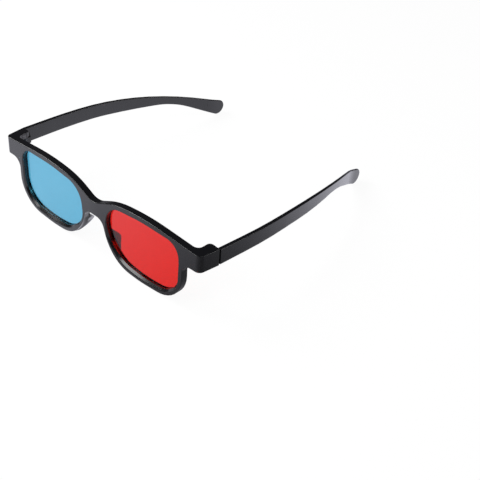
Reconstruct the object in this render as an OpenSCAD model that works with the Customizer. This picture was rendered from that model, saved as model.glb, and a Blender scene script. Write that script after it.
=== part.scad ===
// Anaglyph viewing glasses: one moulded front, two tinted lens sheets and two folding temples.
// Heights are counted from the bottom of the rims and depths from the front of the bridge.
// The finished pair stands open on a table, on the rims and the temple tips.

/* [Lens openings] */
// Nose-side edge of an opening, from the middle of the glasses
opening_in = 9; // [8:0.1:11]
// Outer edge of an opening, from the middle of the glasses
opening_out = 57.5; // [54:0.1:60]
// Lowest point of an opening
opening_low = 2.1; // [1.8:0.1:3.5]
// Highest point of an opening
opening_top = 34.8; // [31:0.1:35.5]
// Where the top and bottom edges bow furthest, from the middle
bow_x = 33; // [29:0.5:38]
// Radius of the top and bottom edges at their bow
bow_r = 70; // [40:1:90]
// Fall of the top edge from its bow to the nose side
top_fall_in = 2; // [1:0.1:3]
// Fall of the top edge from its bow to the outer side
top_fall_out = 0.7; // [0.3:0.1:1.5]
// Rise of the bottom edge from its bow to the nose side
low_rise_in = 2.2; // [1:0.1:3]
// Rise of the bottom edge from its bow to the outer side
low_rise_out = 1.8; // [0.5:0.1:2.5]
// Inward lean of the outer edge, from top to bottom
outer_lean = 0.6; // [0:0.1:2]
// Outward lean of the nose edge, from its knee to the top
nose_lean = 2.5; // [1:0.1:3.5]
// How far the unrounded knee in the nose edge lies beyond that edge
knee_over = 1.2; // [0.6:0.1:2]
// Height of the knee in the nose edge
knee_z = 15; // [12:0.5:18]
// Distance from the nose edge to the corner below the knee
chin_in = 11; // [9:0.5:14]
// Corner radius at the top, nose side
top_in_r = 11; // [8:0.5:13]
// Corner radius at the top, outer side
top_out_r = 7.5; // [5:0.5:10]
// Corner radius at the bottom, outer side
low_out_r = 14; // [9:0.5:16]
// Corner radius at the bottom, nose side
low_in_r = 17; // [11:0.5:18]

/* [Front moulding] */
// Width of a rim below the brow
rim_w = 2.4; // [2:0.1:3.5]
// Depth of the rims, the brow and the bridge
rim_depth = 3.8; // [3.4:0.1:6]
// Angle by which each half of the front turns back from the middle
face_wrap = 1.3; // [0.5:0.1:3]
// Radius of the bend at the middle of the bridge, seen from above
bridge_bend_r = 120; // [60:5:200]
// Height of the brow at its peak
brow_top = 37.9; // [37:0.1:41]
// Place of the brow's peak, from the middle
brow_x = 35; // [28:0.5:40]
// Radius of the brow at its peak
brow_r = 130; // [80:5:150]
// Place of the brow's shoulder beside the bridge, from the middle
shoulder_x = 15; // [12:0.2:17]
// Height of the brow's shoulder
shoulder_top = 35.9; // [34.5:0.1:36.5]
// Radius of the brow's shoulder
shoulder_r = 45; // [25:1:60]
// Height of the bridge at its top
bridge_top = 29.1; // [28:0.1:31.5]
// Radius of the dip at the top of the bridge
bridge_r = 10; // [5:0.5:14]
// Height of the nose arch under the bridge
arch_top = 22.4; // [19:0.1:24]
// Half width of the nose arch at its top
arch_half_w = 6; // [4.5:0.1:7]
// Corner radius of the nose arch
arch_r = 5.5; // [3:0.1:6]
// Distance of the bend in the rim's nose side from the nose edge of the opening
nose_bend_in = 0.4; // [0:0.1:0.8]
// How far the rim's corner below that bend lies beyond an even width, across and down
chin_over = 1.1; // [0:0.1:1.6]
// How far the rim's lower outer corner lies beyond an even width, across and down
toe_over = 0.7; // [0:0.1:1.2]
// Height of the bend in the rim's nose side
nose_bend_z = 11; // [9:0.5:13]
// Radius of the bend in the rim's nose side
nose_bend_r = 25; // [10:1:35]

/* [End pieces] */
// Width of the front across the end pieces
frame_w = 144; // [139:0.2:150]
// Depth of an end piece, from its front corner to its hinge face
end_depth = 11.5; // [9.5:0.1:14]
// Height of an end piece's top
end_top = 34.7; // [34:0.1:36.5]
// Height of an end piece's underside
end_low = 25.7; // [24.7:0.1:26.7]
// Thickness of an end piece, across the glasses
end_w = 6.3; // [5.8:0.1:7]
// How much an end piece spreads from its front corner to its hinge face
end_flare = 1.4; // [0:0.1:2]
// Radius of the upright front corner
corner_r = 3; // [2:0.1:3.5]
// Radius of the outer rear corner
rear_corner_r = 0.4; // [0.2:0.1:1]
// Radius of the inner corner behind the brow
brow_fillet_r = 3; // [1:0.1:4]
// Radius of the corner between an end piece's underside and the rim
notch_r = 5; // [2:0.1:6]

/* [Nose pads] */
// Thickness of a nose pad
pad_t = 1.6; // [1.4:0.1:2.4]
// How far a nose pad stands out from the edge of the rim, towards the nose
pad_proud = 0.3; // [0.2:0.1:1]
// How far the unrounded tip of a nose pad reaches behind the rim
pad_reach = 5; // [2.6:0.1:6]
// Height of a nose pad's tip
pad_tip_z = 12.4; // [11:0.1:15]
// Height of a nose pad's top end
pad_top = 17.2; // [16:0.1:18]
// Height of a nose pad's lower end
pad_low = 2.6; // [2.5:0.1:5]
// Radius of a nose pad's tip
pad_tip_r = 2; // [0.5:0.1:2.5]
// Angle by which a nose pad spreads towards the back
pad_splay = 10; // [0:1:20]

/* [Lenses] */
// Thickness of a lens sheet
lens_t = 0.8; // [0.5:0.05:1]
// Depth of a lens's face behind the front face
lens_recess = 2.2; // [1.5:0.1:2.2]
// How far a lens reaches into the groove of its rim
lens_lap = 0.7; // [0.4:0.05:0.9]
// Play of a lens in its groove, all round and front to back
lens_play = 0.05; // [0.02:0.01:0.1]

/* [Temples] */
// Thickness of a temple at its hinge end
temple_t = 2.2; // [1.8:0.1:2.8]
// Thickness of a temple at its far end
tip_t = 1.4; // [1:0.1:2.2]
// Height of a temple at its hinge end
temple_h = 8.3; // [7:0.1:8.6]
// Distance from the end piece to the temple's far end
temple_len = 135; // [125:0.1:150]
// How far a temple's top lies below the end piece's top
temple_down = 0.1; // [0:0.05:0.5]
// How far a temple's outer face stands out from the end piece
temple_step = 0.4; // [0:0.05:0.6]
// How far along the temple its inward bend lies
bend_at = 65.8; // [55:0.1:75]
// Outward lean of the temple before its bend, in degrees
lean_out = 1.5; // [0:0.1:3]
// Inward angle of the temple past its bend, in degrees
bend_in = 19; // [12:0.1:20]
// Radius of the inward bend
bend_r = 275; // [150:5:300]
// Length of the far end that turns outward again
flare_len = 10.8; // [8:0.1:14]
// Inward angle of that far end, in degrees
flare_in = 5; // [0:0.1:12]
// Radius of the outward turn
flare_r = 35; // [20:1:60]
// How far along the temple its top edge turns down
drop_at = 84.8; // [76:0.1:90]
// Fall of the top edge before it turns down, in degrees
top_lean = 2.7; // [0:0.1:3]
// Fall of the top edge past its turn, in degrees
drop_angle = 19.8; // [14:0.1:22]
// Radius of the turn in the top edge
drop_r = 315; // [200:5:400]
// How far along the temple its lower edge begins to taper
belly_at = 48.3; // [40:0.1:58]
// Height of the temple where its lower edge begins to taper
belly_h = 7.7; // [6.5:0.1:8.2]
// Radius of the lower edge where it begins to taper
belly_r = 200; // [80:5:300]
// How far along the temple its slimmest part lies
neck_at = 98.8; // [92:0.1:105]
// Height of the temple at its slimmest part
neck_h = 3.9; // [3.4:0.1:6]
// Radius of the lower edge at the slimmest part
neck_r = 60; // [20:1:90]
// Height of the paddle at the far end
paddle_h = 9.4; // [7:0.1:10]
// How far the paddle's lower corner lies forward of its upper corner, square to the fall
paddle_lean = 0.6; // [0:0.1:2.5]
// Radius at the rear top of the paddle
paddle_top_r = 4.4; // [2:0.1:4.6]
// Radius at the rear bottom of the paddle
paddle_low_r = 5; // [3:0.1:6]

/* [Hinges] */
// Diameter of a hinge pin
pin_d = 1.4; // [1:0.05:1.6]
// Length of a hinge pin
pin_len = 7.8; // [6:0.1:8]
// Chamfer at the ends of a hinge pin
pin_chamfer = 0.2; // [0.1:0.05:0.4]
// Height of the tongue on a temple
tongue_h = 3.4; // [2.5:0.1:4]
// Radius of the rounded ears and of the tongue's end
ear_r = 2.2; // [1.8:0.1:2.4]
// Width of the tongue beyond its round end, towards the outside
tongue_side = 0.4; // [0:0.1:0.8]
// Length over which the tongue runs into the temple
root_len = 2.4; // [1.6:0.1:4]
// Gap between an end piece's hinge face and its temple
butt_gap = 0.2; // [0.1:0.05:0.6]
// Gap above and below a tongue in its slot
slot_play = 0.15; // [0.1:0.05:0.3]
// Room in front of and outside a tongue in its slot
slot_room = 0.35; // [0.3:0.05:0.6]
// Radial play of a pin in the tongue
pin_play = 0.05; // [0.02:0.01:0.1]
// Radial play of a pin in the ears
pin_seat = 0.02; // [0.01:0.01:0.05]

/* [Hidden] */
$fn = 64;
arc_steps = 10;
cut = 1;
pad_bed = 0.6;

// A rounded outline is a list of corners [x, y, radius], turned into points with an arc at each corner.
// Arcs that don't both fit on the edge between them share it.
function unit(v) = v / norm(v);
function flat(p) = [p[0], p[1]];
function turn_half(a, b, c) =
    let (u = unit(flat(a) - flat(b)), v = unit(flat(c) - flat(b)))
    acos(max(-1, min(1, u * v))) / 2;
function wanted(a, b, c) = b[2] > 0 ? b[2] / tan(turn_half(a, b, c)) : 0;
function share(edge, reach) = min(1, 0.98 * edge / max(reach, 0.001));
function fitted(corners) =
    let (
        n = len(corners),
        reach = [for (i = [0:n - 1]) wanted(corners[(i + n - 1) % n], corners[i], corners[(i + 1) % n])],
        edge = [for (i = [0:n - 1]) norm(flat(corners[(i + 1) % n]) - flat(corners[i]))],
        part = [for (i = [0:n - 1]) share(edge[i], reach[i] + reach[(i + 1) % n])]
    )
    [for (i = [0:n - 1]) [corners[i][0], corners[i][1], corners[i][2] * min(part[i], part[(i + n - 1) % n])]];
function arc_centre(a, b, c) =
    let (u = unit(flat(a) - flat(b)), v = unit(flat(c) - flat(b)))
    flat(b) + unit(u + v) * b[2] / sin(turn_half(a, b, c));
function arc_points(a, b, c) =
    let (
        m = arc_centre(a, b, c),
        from = flat(b) + unit(flat(a) - flat(b)) * wanted(a, b, c) - m,
        to = flat(b) + unit(flat(c) - flat(b)) * wanted(a, b, c) - m,
        start = atan2(from[1], from[0]),
        raw = atan2(to[1], to[0]) - start,
        sweep = raw > 180 ? raw - 360 : raw < -180 ? raw + 360 : raw
    )
    [for (i = [0:arc_steps]) let (at = start + sweep * i / arc_steps) m + b[2] * [cos(at), sin(at)]];
function corner_points(a, b, c) = wanted(a, b, c) > 0.01 ? arc_points(a, b, c) : [flat(b)];
function rounded(corners) =
    let (n = len(corners), f = fitted(corners))
    [for (i = [0:n - 1], p = corner_points(f[(i + n - 1) % n], f[i], f[(i + 1) % n])) p];

// Moving an outline sideways by d moves every edge by d, to the left of its direction
function left_of(a, b) = let (u = unit(flat(b) - flat(a))) [-u[1], u[0]];
function turns_left(a, b, c) =
    let (u = flat(b) - flat(a), w = flat(c) - flat(b)) u[0] * w[1] - u[1] * w[0] > 0;
function moved_corner(a, b, c, d) =
    let (
        n1 = left_of(a, b),
        n2 = left_of(b, c),
        p = flat(b) + d * (n1 + n2) / (1 + n1 * n2),
        r = b[2] + (turns_left(a, b, c) ? -d : d)
    )
    [p[0], p[1], b[2] > 0 ? max(r, 0.1) : 0];
function moved(corners, d) =
    let (n = len(corners))
    [for (i = [0:n - 1]) moved_corner(corners[(i + n - 1) % n], corners[i], corners[(i + 1) % n], d)];
function moved_path(corners, d) =
    let (n = len(corners))
    [for (i = [0:n - 1])
        i == 0 ? concat(flat(corners[0]) + d * left_of(corners[0], corners[1]), [0])
        : i == n - 1 ? concat(flat(corners[i]) + d * left_of(corners[i - 1], corners[i]), [0])
        : moved_corner(corners[i - 1], corners[i], corners[i + 1], d)];
function back_to_front(list) = [for (i = [len(list) - 1:-1:0]) list[i]];
function other_side(corners) = [for (p = back_to_front(corners)) [-p[0], p[1], p[2]]];

// Opening on the +X side, clockwise seen from the front, from its top nose corner
knee_x = opening_in - knee_over;
opening = fitted([
    [knee_x + nose_lean, opening_top - top_fall_in, top_in_r],
    [bow_x, opening_top, bow_r],
    [opening_out, opening_top - top_fall_out, top_out_r],
    [opening_out - outer_lean, opening_low + low_rise_out, low_out_r],
    [bow_x, opening_low, bow_r],
    [opening_in + chin_in, opening_low + low_rise_in, low_in_r],
    [knee_x, knee_z, low_in_r]
]);
rim = moved(opening, rim_w);

// Outline of the front on the +X side, from the brow's shoulder round to the nose arch
end_x = frame_w / 2;
nose_bend = [opening_in + nose_bend_in, nose_bend_z, nose_bend_r];
chin = rim[5] - [chin_over, chin_over, 0];
toe = rim[3] + [toe_over, -toe_over, 0];
front_side = [
    [shoulder_x, shoulder_top, shoulder_r],
    [brow_x, brow_top, brow_r],
    [end_x + cut, end_top, 0],
    [end_x + cut, end_low, 0],
    [rim[2][0], end_low, notch_r],
    toe,
    rim[4],
    chin,
    nose_bend,
    [arch_half_w, arch_top, arch_r]
];
front_outline = rounded(concat([[0, bridge_top, bridge_r]], front_side, other_side(front_side)));

// Outline of the front seen from above, each half turned back by the wrap
function wrap_y(x) = abs(x) * tan(face_wrap);
end_in = end_x - end_w;
hinge_y = wrap_y(end_x) + end_depth;
plan_side = [
    [end_x - end_flare, wrap_y(end_x - end_flare), corner_r],
    [end_x, hinge_y, rear_corner_r],
    [end_in, hinge_y, ear_r],
    [end_in, wrap_y(end_in) + rim_depth, brow_fillet_r]
];
front_plan = rounded(concat(
    [[0, 0, bridge_bend_r]],
    plan_side,
    [[0, rim_depth, bridge_bend_r]],
    other_side(plan_side)
));

// Hinge axis, in the middle of the rounded ears
axis_x = end_in + ear_r;
axis_y = hinge_y - ear_r;
tongue_z = (end_top + end_low - tongue_h) / 2;
pin_z = (end_top + end_low - pin_len) / 2;
tongue_out = axis_x + ear_r + tongue_side;

// Temple from above: the outer face as a path from the hinge end to past the far end
temple_y = hinge_y + butt_gap;
temple_x = end_x + temple_step;
temple_end_y = hinge_y + temple_len;
bend_y = temple_y + bend_at;
bend_x = temple_x + bend_at * tan(lean_out);
flare_y = temple_end_y - flare_len;
flare_x = bend_x - (flare_y - bend_y) * tan(bend_in);
temple_outer = fitted([
    [temple_x, temple_y, 0],
    [bend_x, bend_y, bend_r],
    [flare_x, flare_y, flare_r],
    [flare_x - (flare_len + cut) * tan(flare_in), temple_end_y + cut, 0]
]);
wall = [temple_t, (temple_t + tip_t) / 2, tip_t, tip_t];
temple_inner = [for (i = [0:3]) moved_path(temple_outer, wall[i])[i]];
temple_plan = concat(rounded(temple_outer), back_to_front(rounded(temple_inner)));

// Temple from the side: top edge, paddle and lower edge
temple_top = end_top - temple_down;
temple_front = [temple_y, temple_top, 0];
drop_y = temple_y + drop_at;
drop = [drop_y, temple_top - drop_at * tan(top_lean), drop_r];
tip_top = [temple_end_y, drop[1] - (temple_end_y - drop_y) * tan(drop_angle), paddle_top_r];
tip_low = [
    tip_top[0] - paddle_h * sin(drop_angle) - paddle_lean * cos(drop_angle),
    tip_top[1] - paddle_h * cos(drop_angle) + paddle_lean * sin(drop_angle),
    paddle_low_r
];
drop_centre = arc_centre(temple_front, drop, tip_top);
function top_edge(y) = drop_centre[1] + sqrt(drop_r * drop_r - pow(y - drop_centre[0], 2));
belly_y = temple_y + belly_at;
neck_y = temple_y + neck_at;
temple_side = fitted([
    temple_front,
    drop,
    tip_top,
    tip_low,
    [neck_y, top_edge(neck_y) - neck_h, neck_r],
    [belly_y, top_edge(belly_y) - belly_h, belly_r],
    [temple_y, temple_top - temple_h, 0]
]);
temple_outline = rounded(temple_side);
heel = arc_centre(temple_side[2], temple_side[3], temple_side[4]);
heel_r = temple_side[3][2];

// The pair leans until the heels of its paddles touch the table behind the lowest points of the rims
foot = [rim_depth + wrap_y(bow_x), min([for (p = front_outline) p[1]])];
heel_span = heel - foot;
table_tilt = atan2(heel_span[1], heel_span[0]) - asin(heel_r / norm(heel_span));
function table_y(y, z) = (y - foot[0]) * cos(table_tilt) + (z - foot[1]) * sin(table_tilt);
front_end = min([for (p = front_outline) table_y(wrap_y(p[0]), p[1])]);
rear_end = max([for (p = temple_outline) table_y(p[0], p[1])]);

// Places a piece made in front-face measures on the table
module on_table() {
    translate([0, -(front_end + rear_end) / 2, 0])
        rotate([-table_tilt, 0, 0])
            translate([0, -foot[0], -foot[1]])
                children();
}

// Extrudes an X-Z outline from depth y0 to depth y1
module across(y0, y1) {
    translate([0, y1, 0])
        rotate([90, 0, 0])
            linear_extrude(y1 - y0)
                children();
}

// Extrudes a Y-Z outline from x0 to x1
module sideways(x0, x1) {
    translate([x0, 0, 0])
        rotate([90, 0, 90])
            linear_extrude(x1 - x0)
                children();
}

// A piece and its mirror image about the middle
module both_sides() {
    children();
    mirror([1, 0, 0]) children();
}

// Turns a piece of the +X half back by the wrap of the front
module wrapped() {
    rotate([0, 0, face_wrap])
        children();
}

// Opening with the groove that holds the lens sheet
module lens_seat() {
    across(-cut, rim_depth + cut)
        polygon(rounded(opening));
    across(lens_recess - lens_play, lens_recess + lens_t + lens_play)
        polygon(rounded(moved(opening, lens_lap + lens_play)));
}

// Nose pad: a lobe behind the nose side of the rim, blunt above and tapered below
module nose_pad() {
    pad_path = [[rim[4][0], rim[4][1], 0], chin, nose_bend, [arch_half_w, arch_top, 0]];
    inner_face = rounded(moved_path(pad_path, pad_proud));
    outer_face = rounded(moved_path(pad_path, pad_proud - pad_t));
    bed_y = rim_depth - pad_bed;
    profile = [
        [bed_y, pad_low, 0],
        [rim_depth, pad_low, 0],
        [rim_depth + pad_reach, pad_tip_z, pad_tip_r],
        [rim_depth, pad_top, 0],
        [bed_y, pad_top, 0]
    ];
    translate([nose_bend[0], rim_depth, 0])
        rotate([0, 0, -pad_splay])
            translate([-nose_bend[0], -rim_depth, 0])
                intersection() {
                    across(bed_y, rim_depth + pad_reach)
                        polygon(concat(inner_face, back_to_front(outer_face)));
                    sideways(0, end_x)
                        polygon(rounded(profile));
                }
}

// Room for the tongue between the two ears of an end piece, open to the back and the inside
module tongue_slot() {
    room = tongue_out + slot_room - end_in + cut;
    depth = hinge_y - axis_y + ear_r + slot_room + cut;
    translate([end_in - cut, axis_y - ear_r - slot_room, tongue_z - slot_play])
        cube([room, depth, tongue_h + 2 * slot_play]);
}

// Blind hole for the pin, from the underside of an end piece
module pin_hole() {
    translate([axis_x, axis_y, end_low - cut])
        cylinder(d = pin_d + 2 * pin_seat, h = pin_z + pin_len + pin_seat - end_low + cut);
}

// One moulding: rims, brow, bridge, nose pads and end pieces
module front_frame() {
    color("#1c1c1f")
        on_table()
            difference() {
                union() {
                    intersection() {
                        across(-cut, hinge_y + cut)
                            polygon(front_outline);
                        translate([0, 0, -cut])
                            linear_extrude(brow_top + 2 * cut)
                                polygon(front_plan);
                    }
                    both_sides() wrapped() nose_pad();
                }
                both_sides() {
                    wrapped() lens_seat();
                    tongue_slot();
                    pin_hole();
                }
            }
}

// Flat tinted sheet held all round in the groove of a rim
module lens_sheet() {
    across(lens_recess, lens_recess + lens_t)
        polygon(rounded(moved(opening, lens_lap)));
}

module cyan_lens() {
    color([0.44, 0.72, 0.86, 0.6])
        on_table()
            mirror([1, 0, 0])
                wrapped() lens_sheet();
}

module red_lens() {
    color([0.89, 0.23, 0.21, 0.6])
        on_table()
            wrapped() lens_sheet();
}

// Temple on the +X side, with its tongue and pin hole
module temple() {
    inside_x = temple_x - temple_t;
    difference() {
        union() {
            intersection() {
                sideways(0, bend_x + cut)
                    polygon(temple_outline);
                translate([0, 0, -temple_top])
                    linear_extrude(2 * temple_top + cut)
                        polygon(temple_plan);
            }
            translate([0, 0, tongue_z])
                linear_extrude(tongue_h) {
                    translate([axis_x, axis_y])
                        circle(r = ear_r);
                    polygon([
                        [axis_x - ear_r, axis_y],
                        [axis_x - ear_r, temple_y],
                        [inside_x, temple_y + root_len],
                        [inside_x + temple_t / 2, temple_y + root_len],
                        [tongue_out, temple_y],
                        [tongue_out, axis_y]
                    ]);
                }
        }
        translate([axis_x, axis_y, tongue_z - cut])
            cylinder(d = pin_d + 2 * pin_play, h = tongue_h + 2 * cut);
    }
}

module left_temple() {
    color("#232326")
        on_table()
            temple();
}

module right_temple() {
    color("#232326")
        on_table()
            mirror([1, 0, 0])
                temple();
}

// Straight steel pin with chamfered ends
module hinge_pin() {
    r = pin_d / 2;
    translate([axis_x, axis_y, pin_z])
        rotate_extrude()
            polygon([
                [0, 0], [r - pin_chamfer, 0], [r, pin_chamfer],
                [r, pin_len - pin_chamfer], [r - pin_chamfer, pin_len], [0, pin_len]
            ]);
}

module left_hinge_pin() {
    color("silver")
        on_table()
            hinge_pin();
}

module right_hinge_pin() {
    color("silver")
        on_table()
            mirror([1, 0, 0])
                hinge_pin();
}

front_frame();
cyan_lens();
red_lens();
right_temple();
left_temple();
right_hinge_pin();
left_hinge_pin();
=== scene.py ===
import math

import bmesh
import bpy
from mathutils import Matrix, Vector


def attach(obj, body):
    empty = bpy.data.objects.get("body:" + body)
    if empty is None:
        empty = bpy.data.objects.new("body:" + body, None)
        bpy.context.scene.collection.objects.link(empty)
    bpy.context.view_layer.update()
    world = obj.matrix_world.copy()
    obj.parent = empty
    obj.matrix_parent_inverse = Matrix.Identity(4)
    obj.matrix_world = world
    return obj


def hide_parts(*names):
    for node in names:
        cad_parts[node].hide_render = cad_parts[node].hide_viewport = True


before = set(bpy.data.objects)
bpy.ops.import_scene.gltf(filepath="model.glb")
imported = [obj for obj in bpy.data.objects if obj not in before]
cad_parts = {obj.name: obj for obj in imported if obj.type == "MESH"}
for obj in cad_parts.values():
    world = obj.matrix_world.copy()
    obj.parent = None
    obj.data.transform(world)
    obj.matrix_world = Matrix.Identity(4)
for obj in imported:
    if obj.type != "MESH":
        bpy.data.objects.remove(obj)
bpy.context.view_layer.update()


# The front: rims, brow, bridge, nose pads and end pieces, moulded in one shot of black polycarbonate.
# A polished mould leaves it glossy. Its outer edges are eased, with a flat slope round the front of each
# lens opening that is widest under the lens. The lens grooves, hinge slots and pin holes stay crisp.
table_lean = math.radians(2.42084)
face_turn = math.tan(math.radians(1.3))
foot_y, foot_z, middle_y = 0.00454887, -0.000174942, 0.06924255

merge_gap, slope_end_gap = 0.00006, 0.000001
flat_angle, edge_angle, crease_angle = math.radians(0.2), math.radians(40), math.radians(38)
widest, slope_steps = 0.002, 4
round_profile, flat_profile = 0.5, 0.25

outer_ease, pad_ease, bezel_w = 0.00026, 0.00033, 0.0013
side_wall, low_wall = -0.1, 0.4
eye_x, eye_z = 0.0330, 0.0186
opening_in, opening_out, opening_back = 0.0080, 0.0595, 0.0126339
face_skin = 0.0003
groove_front, groove_back, groove_reach = 0.0020, 0.0033, 0.0620
slot_from_x, slot_from_y, slot_low, slot_top = 0.0640, 0.0080, 0.0280, 0.0324
hinge_x, hinge_y, pin_hole_reach = 0.0679, 0.0109339, 0.0012
pad_reach, pad_top, root_front, root_back = 0.0205, 0.0185, 0.0034, 0.0041


def unleaned(point):
    """A point in the measures of the front, before the pair leans back onto its heels."""
    y = point.y + middle_y
    return Vector((
        point.x,
        y * math.cos(table_lean) - point.z * math.sin(table_lean) + foot_y,
        y * math.sin(table_lean) + point.z * math.cos(table_lean) + foot_z,
    ))


def applied(piece):
    """Gives a piece the mesh that its modifiers make, and takes them off."""
    bpy.context.view_layer.update()
    made = bpy.data.meshes.new_from_object(piece.evaluated_get(bpy.context.evaluated_depsgraph_get()))
    piece.modifiers.clear()
    piece.data = made


def eased_copy(node, name, *finishes):
    """A copy of a solid with finished edges. A finish is its name, profile and width at a sharp edge."""
    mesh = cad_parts[node].data.copy()
    work = bmesh.new()
    work.from_mesh(mesh)
    # Edges too short or too flat for a slope go first
    bmesh.ops.remove_doubles(work, verts=work.verts, dist=merge_gap)
    bmesh.ops.dissolve_limit(work, angle_limit=flat_angle, verts=work.verts, edges=work.edges)
    for finish, _, width in finishes:
        weight = work.edges.layers.float.new(finish)
        for edge in work.edges:
            if edge.is_convex and edge.calc_face_angle() > edge_angle:
                edge[weight] = width(edge, unleaned((edge.verts[0].co + edge.verts[1].co) / 2)) / widest
    work.to_mesh(mesh)
    work.free()
    piece = bpy.data.objects.new(name, mesh)
    bpy.context.collection.objects.link(piece)
    for finish, profile, _ in finishes:
        bevel = piece.modifiers.new(finish, "BEVEL")
        bevel.limit_method = "WEIGHT"
        bevel.edge_weight = finish
        bevel.width = widest
        bevel.profile = profile
        bevel.segments = slope_steps
        bevel.use_clamp_overlap = False
    piece.modifiers.new("joined_where_a_slope_ends", "WELD").merge_threshold = slope_end_gap
    applied(piece)
    piece.data.shade_smooth()
    piece.data.set_sharp_from_angle(angle=crease_angle)
    piece.modifiers.new("flat_faces_stay_flat", "WEIGHTED_NORMAL").keep_sharp = True
    applied(piece)
    piece.data.materials.clear()
    return piece


def bezel(edge, p):
    """The slope at an edge round the front of a lens opening, wider the more the wall there faces up."""
    wall = min(edge.link_faces, key=lambda face: abs(face.normal.y)).normal
    outward = math.copysign(wall.x, p.x * wall.x) * (abs(p.x) - eye_x) + wall.z * (p.z - eye_z)
    at_opening = opening_in < abs(p.x) < opening_out and p.y < opening_back and outward < 0
    if not at_opening or p.y - abs(p.x) * face_turn >= face_skin:
        return 0
    low = min(1, max(0, (wall.z - side_wall) / (low_wall - side_wall)))
    return outer_ease + (bezel_w - outer_ease) * low


def front_ease(edge, p):
    """The rounding at any other sharp edge of the front, and none where another piece fits."""
    depth = p.y - abs(p.x) * face_turn
    in_groove = groove_front < depth < groove_back and abs(p.x) < groove_reach
    at_slot = abs(p.x) > slot_from_x and p.y > slot_from_y and slot_low < p.z < slot_top
    at_pin = math.hypot(abs(p.x) - hinge_x, p.y - hinge_y) < pin_hole_reach
    by_pad = abs(p.x) < pad_reach and p.z < pad_top
    at_root = by_pad and root_front < depth < root_back
    if in_groove or at_slot or at_pin or at_root or bezel(edge, p):
        return 0
    return pad_ease if by_pad and depth > groove_back else outer_ease


def linear(hex_code):
    """An sRGB hex colour as linear red, green, blue and full alpha."""
    parts = [int(hex_code[i:i + 2], 16) / 255 for i in (1, 3, 5)]
    return [c / 12.92 if c <= 0.04045 else ((c + 0.055) / 1.055) ** 2.4 for c in parts] + [1]


def add(tree, kind, values=None, links=None, **settings):
    """Adds a node with its settings, its socket values and its incoming links.

    A Mix node's inputs 2 and 3 are its two numbers, 6 and 7 its two colours, and its output 2 is a colour.
    """
    node = tree.nodes.new(kind)
    for key, value in settings.items():
        setattr(node, key, value)
    for key, value in (values or {}).items():
        node.inputs[key].default_value = value
    for key, (source, output) in (links or {}).items():
        tree.links.new(source.outputs[output], node.inputs[key])
    return node


# Polished black polycarbonate: nearly black in itself, so what shows is its gloss.
# The gloss is slightly uneven where the melt flowed, and the skin has a faint orange peel.
flow_width, peel_width, peel_depth = 0.014, 0.0016, 0.00003
polycarbonate = bpy.data.materials.new("polished_black_polycarbonate")
polycarbonate.use_nodes = True
tree = polycarbonate.node_tree
tree.nodes.clear()
place = add(tree, "ShaderNodeTexCoord")
flow = add(tree, "ShaderNodeTexNoise", {"Scale": 1 / flow_width, "Detail": 3},
           {"Vector": (place, "Object")})
peel = add(tree, "ShaderNodeTexNoise", {"Scale": 1 / peel_width, "Detail": 2},
           {"Vector": (place, "Object")})
tone = add(tree, "ShaderNodeMix", {6: linear("#0c0c0e"), 7: linear("#141417")}, {0: (flow, "Fac")},
           data_type="RGBA")
gloss = add(tree, "ShaderNodeMapRange", {"To Min": 0.16, "To Max": 0.26}, {"Value": (flow, "Fac")})
skin = add(tree, "ShaderNodeBump", {"Strength": 0.02, "Distance": peel_depth}, {"Height": (peel, "Fac")})
shader = add(tree, "ShaderNodeBsdfPrincipled", {"IOR": 1.585},
             {"Base Color": (tone, 2), "Roughness": (gloss, "Result"), "Normal": (skin, "Normal")})
add(tree, "ShaderNodeOutputMaterial", links={"Surface": (shader, "BSDF")})

front = eased_copy("front_frame", "moulded_front",
                   ("eased", round_profile, front_ease), ("bezel", flat_profile, bezel))
front.data.materials.append(polycarbonate)
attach(front, "front")
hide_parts("front_frame")


# The lenses: flat sheets of acrylic dyed through, cut to the opening and snapped into the rim's groove.
# Cyan stands before the wearer's right eye and red before the left. A white page shows clearly through
# each, in a tint and a polish that are very slightly cloudy.
dye_width = 0.02
for node, name, pale, deep in (
    ("cyan_lens", "cyan_dyed_acrylic", "#60bfda", "#58b9d6"),
    ("red_lens", "red_dyed_acrylic", "#f31e0c", "#ef1808"),
):
    acrylic = bpy.data.materials.new(name)
    acrylic.use_nodes = True
    tree = acrylic.node_tree
    tree.nodes.clear()
    place = add(tree, "ShaderNodeTexCoord")
    dye = add(tree, "ShaderNodeTexNoise", {"Scale": 1 / dye_width, "Detail": 1},
              {"Vector": (place, "Object")})
    tint = add(tree, "ShaderNodeMix", {6: linear(pale), 7: linear(deep)}, {0: (dye, "Fac")},
               data_type="RGBA")
    haze = add(tree, "ShaderNodeMapRange", {"To Min": 0.0, "To Max": 0.03}, {"Value": (dye, "Fac")})
    shader = add(tree, "ShaderNodeBsdfPrincipled", {"IOR": 1.49, "Transmission Weight": 1},
                 {"Base Color": (tint, 2), "Roughness": (haze, "Result")})
    add(tree, "ShaderNodeOutputMaterial", links={"Surface": (shader, "BSDF")})
    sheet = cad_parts[node]
    sheet.data.materials.clear()
    sheet.data.materials.append(acrylic)


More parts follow.
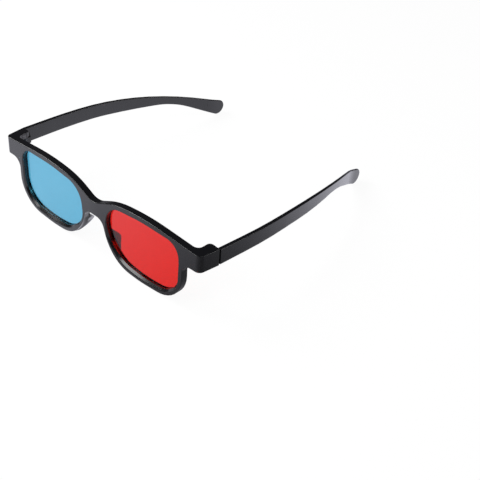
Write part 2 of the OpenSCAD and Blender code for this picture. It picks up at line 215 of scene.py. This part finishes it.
# The hinge pins: straight lengths of drawn steel wire with chamfered ends, pushed up through the ears.
# Drawing leaves fine lines along the wire, which show as long grey streaks in its shine.
# They are made coarser here than real ones, so that they show in a close view.
line_width, line_squash = 0.00015, 0.03
steel = bpy.data.materials.new("drawn_steel_wire")
steel.use_nodes = True
tree = steel.node_tree
tree.nodes.clear()
place = add(tree, "ShaderNodeTexCoord")
stretch = add(tree, "ShaderNodeMapping", {"Scale": (1, 1, line_squash)}, {"Vector": (place, "Object")})
lines = add(tree, "ShaderNodeTexNoise", {"Scale": 1 / line_width, "Detail": 2},
            {"Vector": (stretch, "Vector")})
tone = add(tree, "ShaderNodeMix", {6: linear("#9a9a9e"), 7: linear("#c4c4c8")}, {0: (lines, "Fac")},
           data_type="RGBA")
gloss = add(tree, "ShaderNodeMapRange", {"To Min": 0.22, "To Max": 0.4}, {"Value": (lines, "Fac")})
shader = add(tree, "ShaderNodeBsdfPrincipled", {"Metallic": 1},
             {"Base Color": (tone, 2), "Roughness": (gloss, "Result")})
add(tree, "ShaderNodeOutputMaterial", links={"Surface": (shader, "BSDF")})
for node in ("right_hinge_pin", "left_hinge_pin"):
    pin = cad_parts[node]
    pin.data.materials.clear()
    pin.data.materials.append(steel)


# The temples: curved arms of the same moulded, polished polycarbonate, each with a hinge tongue in front
# and a flat paddle behind the ear. Their long edges are rounded for the wearer's skin, more so along the
# paddle, and the tongue stays crisp in its slot on the pin.
arm_ease, paddle_ease = 0.00035, 0.00055
paddle_from, paddle_to = 0.085, 0.135
butt_y, tongue_x, tongue_y = 0.0134339, 0.0698, 0.0165


def temple_ease(edge, p):
    """The rounding at a sharp edge of a temple, and none on its tongue and butt face."""
    if p.y < butt_y or (abs(p.x) < tongue_x and p.y < tongue_y):
        return 0
    along = min(1, max(0, (p.y - paddle_from) / (paddle_to - paddle_from)))
    return arm_ease + (paddle_ease - arm_ease) * along


for side in ("right", "left"):
    arm = eased_copy(side + "_temple", side + "_temple_arm", ("eased", round_profile, temple_ease))
    arm.data.materials.append(polycarbonate)
    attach(arm, side + "_temple")
    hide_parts(side + "_temple")


# The studio: a wide sheet of white paper, plain white to the camera. Where gloss mirrors it, its glow
# holds painted pools of light and shade, a painted reflection of shadows and lit patches on the floor.
# A broad soft lamp on the left gives the shadow, two small lamps draw thin lights along the rounded edges,
# and one in front lights the slopes under the lenses.
floor_reach, floor_drop, paper_glow = 6, 0.0002, 0.94
corners = [(x * floor_reach, y * floor_reach, -floor_drop) for x, y in ((-1, -1), (1, -1), (1, 1), (-1, 1))]
floor_mesh = bpy.data.meshes.new("floor")
floor_mesh.from_pydata(corners, [], [(0, 1, 2, 3)])
floor = bpy.data.objects.new("floor", floor_mesh)
bpy.context.collection.objects.link(floor)

paper = bpy.data.materials.new("white_paper_sweep")
paper.use_nodes = True
tree = paper.node_tree
tree.nodes.clear()
ray = add(tree, "ShaderNodeLightPath")
spot = add(tree, "ShaderNodeTexCoord")
seen = add(tree, "ShaderNodeMath", links={0: (ray, "Is Camera Ray"), 1: (ray, "Is Transmission Ray")},
           operation="MAXIMUM")
shown = add(tree, "ShaderNodeMath", links={0: (seen, 0), 1: (ray, "Is Glossy Ray")}, operation="MAXIMUM")
painted_reflection_glow = (ray, "Is Glossy Ray")
# Painted light and shade for the gloss alone: each pool fades from one glow level near its middle to
# another far off.
for middle, near, far, near_light, far_light in (
    ((0.100, -0.075, 0), 0.02, 0.16, 0.12, 1.1),  # dim beside the left end piece
    ((-0.02, -0.02, 0), 0.17, 0.28, 1.0, 0.1),  # dark far from the glasses
    ((0.085, 0.07, 0), 0.02, 0.10, 1.5, 1.0),  # bright beside the left paddle
    ((-0.011, -0.059, 0), 0.008, 0.026, 2.2, 1.0),  # bright under the right nose pad
    ((-0.23, 0.08, 0), 0.11, 0.17, 0.05, 1.0),  # dark where the top of the bridge looks
):
    away = add(tree, "ShaderNodeVectorMath", {1: middle}, {0: (spot, "Object")}, operation="DISTANCE")
    fade = add(tree, "ShaderNodeMapRange",
               {"From Min": near, "From Max": far, "To Min": near_light, "To Max": far_light},
               {"Value": (away, "Value")})
    painted_pool = add(tree, "ShaderNodeMath", links={0: painted_reflection_glow, 1: (fade, "Result")}, operation="MULTIPLY")
    painted_reflection_glow = (painted_pool, 0)
# The camera and the lenses see the paper's even glow; glossy rays see the painted pools.
glow = add(tree, "ShaderNodeMix", {3: paper_glow}, {0: (seen, 0), 2: painted_reflection_glow})
shade = add(tree, "ShaderNodeMix", {6: linear("#ececec"), 7: linear("#4c4c4c")}, {0: (shown, 0)},
            data_type="RGBA")
# The glow that glossy rays see is painted a faint blue, a painted reflection tint on the black frame.
painted_reflection_tint = add(tree, "ShaderNodeMix", {6: linear("#ffffff"), 7: linear("#ededf9")}, {0: (ray, "Is Glossy Ray")},
           data_type="RGBA")
shader = add(tree, "ShaderNodeBsdfPrincipled", {"Roughness": 1, "Specular IOR Level": 0},
             {"Base Color": (shade, 2), "Emission Color": (painted_reflection_tint, 2), "Emission Strength": (glow, 0)})
add(tree, "ShaderNodeOutputMaterial", links={"Surface": (shader, "BSDF")})
floor_mesh.materials.append(paper)

world = bpy.data.worlds.new("studio")
bpy.context.scene.world = world
world.use_nodes = True
tree = world.node_tree
tree.nodes.clear()
ray = add(tree, "ShaderNodeLightPath")
seen = add(tree, "ShaderNodeMath", links={0: (ray, "Is Camera Ray"), 1: (ray, "Is Transmission Ray")},
           operation="MAXIMUM")
tone = add(tree, "ShaderNodeMix", {6: linear("#303033"), 7: linear("#fbfbfb")}, {0: (seen, 0)},
           data_type="RGBA")
shader = add(tree, "ShaderNodeBackground", {"Strength": 1}, {"Color": (tone, 2)})
add(tree, "ShaderNodeOutputWorld", links={"Surface": (shader, "Background")})

for name, stand, width, height, power in (
    ("soft_lamp_left", (-0.48, -0.19, 0.48), 0.4, 0.4, 4.0),
    ("edge_lamp_above", (0.33, -0.01, 0.57), 0.25, 0.25, 0.6),
    ("edge_lamp_behind", (0.55, 0.40, 0.45), 0.25, 0.25, 1.0),
    ("bezel_lamp_front", (-0.10, -0.52, 0.46), 0.44, 0.22, 2.0),
):
    lamp = bpy.data.lights.new(name, "AREA")
    lamp.shape = "RECTANGLE"
    lamp.size = width
    lamp.size_y = height
    lamp.energy = power
    holder = bpy.data.objects.new(name, lamp)
    holder.location = stand
    holder.rotation_euler = Vector(stand).to_track_quat("Z", "Y").to_euler()
    bpy.context.collection.objects.link(holder)

camera_data = bpy.data.cameras.new("camera")
camera_data.lens = 70.136
camera_data.sensor_width = 36
camera_data.clip_start = 0.01
camera = bpy.data.objects.new("camera", camera_data)
camera.location = (0.29383, -0.29743, 0.29288)
camera.rotation_euler = [math.radians(a) for a in (52.150, -1.965, 42.985)]
bpy.context.collection.objects.link(camera)
bpy.context.scene.camera = camera
bpy.context.scene.view_settings.view_transform = "Standard"
